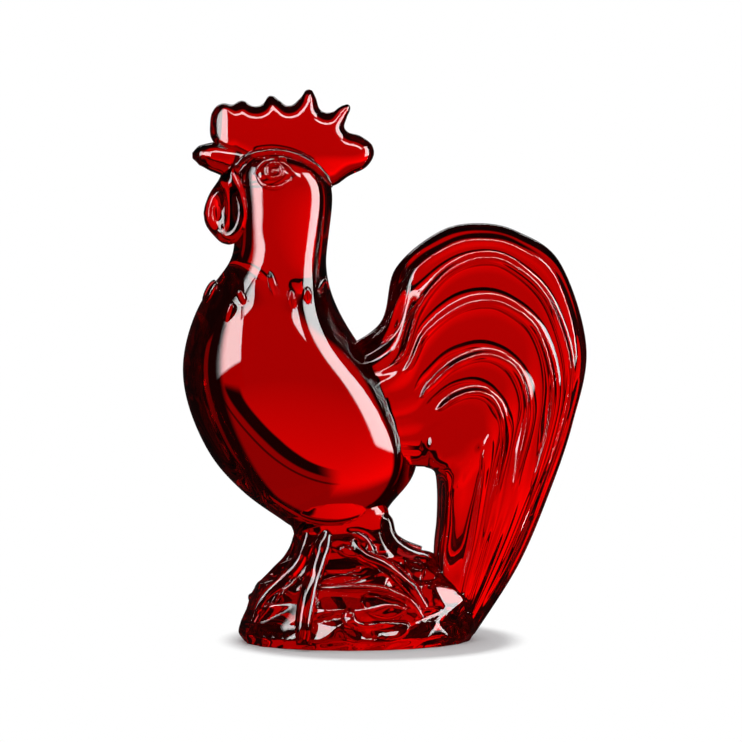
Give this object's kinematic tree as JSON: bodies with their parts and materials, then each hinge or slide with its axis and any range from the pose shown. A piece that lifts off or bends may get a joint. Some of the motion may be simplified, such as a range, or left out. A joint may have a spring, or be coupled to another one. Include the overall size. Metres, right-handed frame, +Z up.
{
  "type": "crystal rooster figurine",
  "caption": "Solid clear red crystal rooster with a toothed comb, dished wattles and an arched, ridged tail, standing on a hewn rock base.",
  "frame": {"origin": "on the rock's flat underside, below the middle of the whole figure's bounding box", "axes": "+Z up, the rooster faces -X, and its left side faces -Y"},
  "size_m": [0.1338, 0.0564, 0.1802],
  "materials": {
    "crystal": "fire-polished clear red crystal, coloured through"
  },
  "bodies": {
    "root": {"rock_base": "crystal", "body": "crystal", "neck_and_head": "crystal", "comb": "crystal", "beak": "crystal", "wattle_left": "crystal", "wattle_right": "crystal", "eye_left": "crystal", "eye_right": "crystal", "leg_left": "crystal", "leg_right": "crystal", "toe_left_front": "crystal", "toe_left_middle": "crystal", "toe_left_outer": "crystal", "toe_left_rear": "crystal", "toe_right_front": "crystal", "toe_right_middle": "crystal", "toe_right_outer": "crystal", "toe_right_rear": "crystal", "tail_feather_1": "crystal", "tail_feather_2": "crystal", "tail_feather_3": "crystal", "tail_feather_4": "crystal", "tail_feather_5": "crystal", "tail_feather_6": "crystal", "tail_feather_7": "crystal"}
  },
  "joints": []
}
